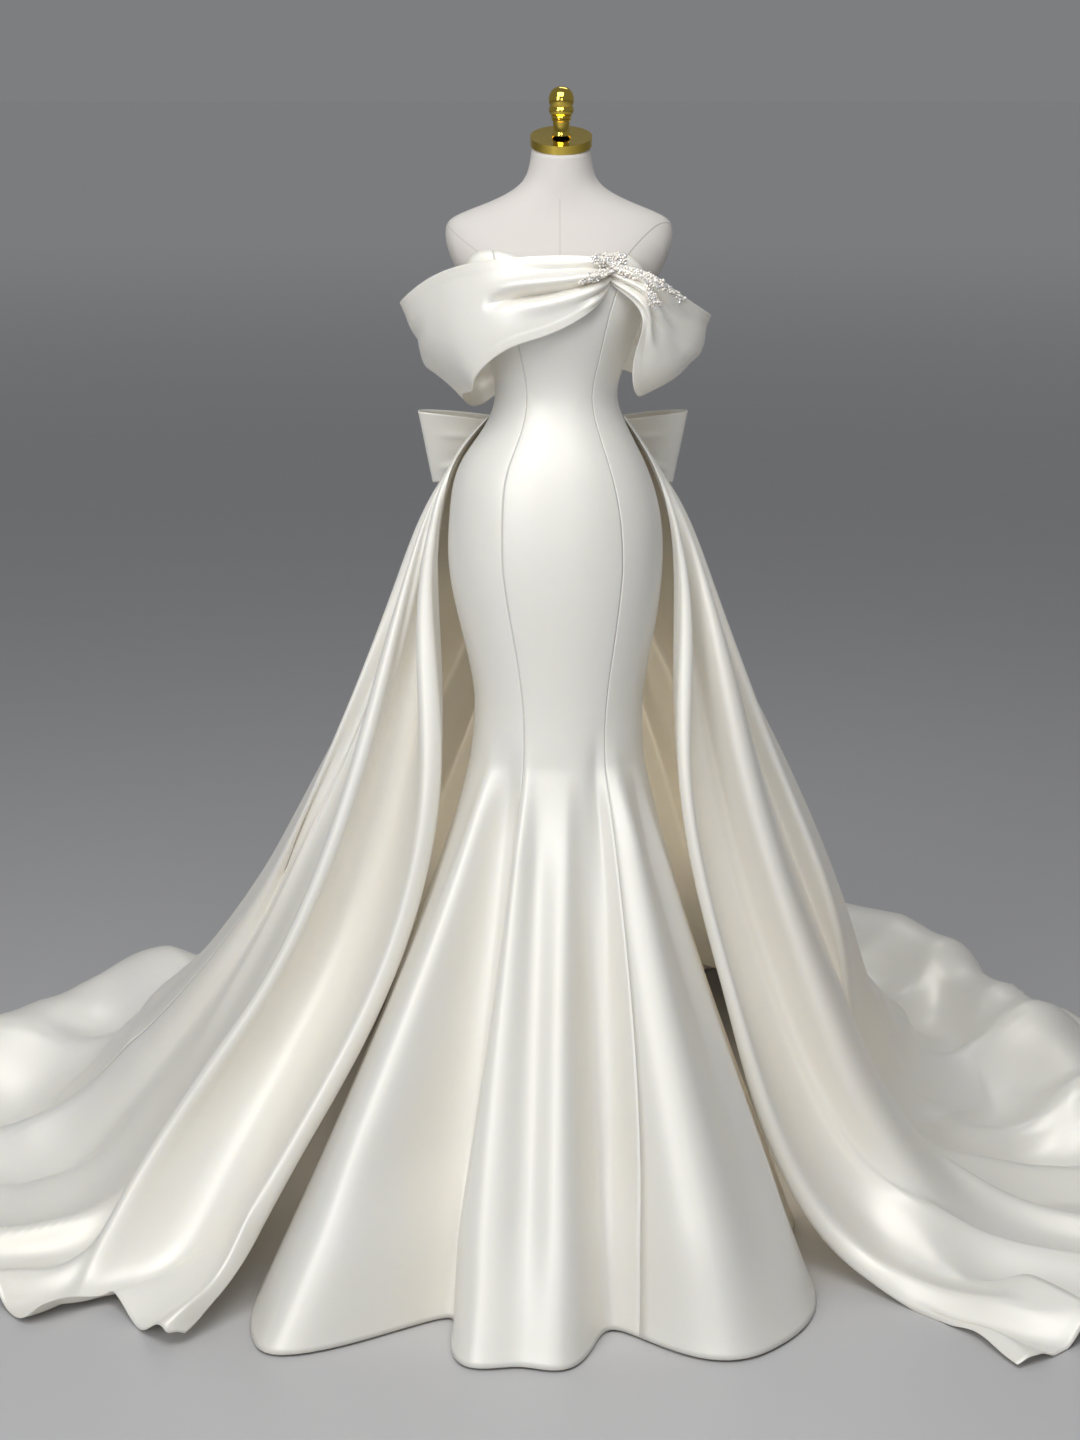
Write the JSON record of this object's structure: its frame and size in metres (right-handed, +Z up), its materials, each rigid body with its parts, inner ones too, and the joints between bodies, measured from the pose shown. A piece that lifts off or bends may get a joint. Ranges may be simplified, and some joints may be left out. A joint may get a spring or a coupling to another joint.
{
  "type": "mermaid gown on dress form",
  "caption": "Ivory satin mermaid gown with wrapped off-shoulder drape, beaded motif, back bow and trained overskirt, on a limbless dress form with a round stand.",
  "frame": {"origin": "on the floor, at the centre of the stand's round base, under the form's pole", "axes": "+Z up, -Y the front of the gown, +X the viewer's right; -Z out of the base's underside"},
  "size_m": [2.254, 1.9467, 1.823],
  "materials": {
    "satin": "heavy ivory satin, soft long highlights",
    "beads": "pearl and glass beads on ivory satin",
    "form_cover": "matt fine linen cover",
    "gold": "polished",
    "stand": "satin lacquer"
  },
  "bodies": {
    "root": {"gown_centre_front": "satin", "gown_side_front_left": "satin", "gown_side_front_right": "satin", "gown_side_back_left": "satin", "gown_side_back_right": "satin", "gown_centre_back_left": "satin", "gown_centre_back_right": "satin", "overskirt_front_left": "satin", "overskirt_back_left": "satin", "overskirt_front_right": "satin", "overskirt_back_right": "satin", "drape_front_left": "satin", "drape_sleeve_right": "satin", "bow_loop_left": "satin", "bow_loop_right": "satin", "bow_knot": "satin", "bead_motif": "beads", "form_torso": "form_cover", "neck_disc": "gold", "neck_finial": "gold", "stand_pole": "stand", "stand_base": "stand"}
  },
  "joints": []
}
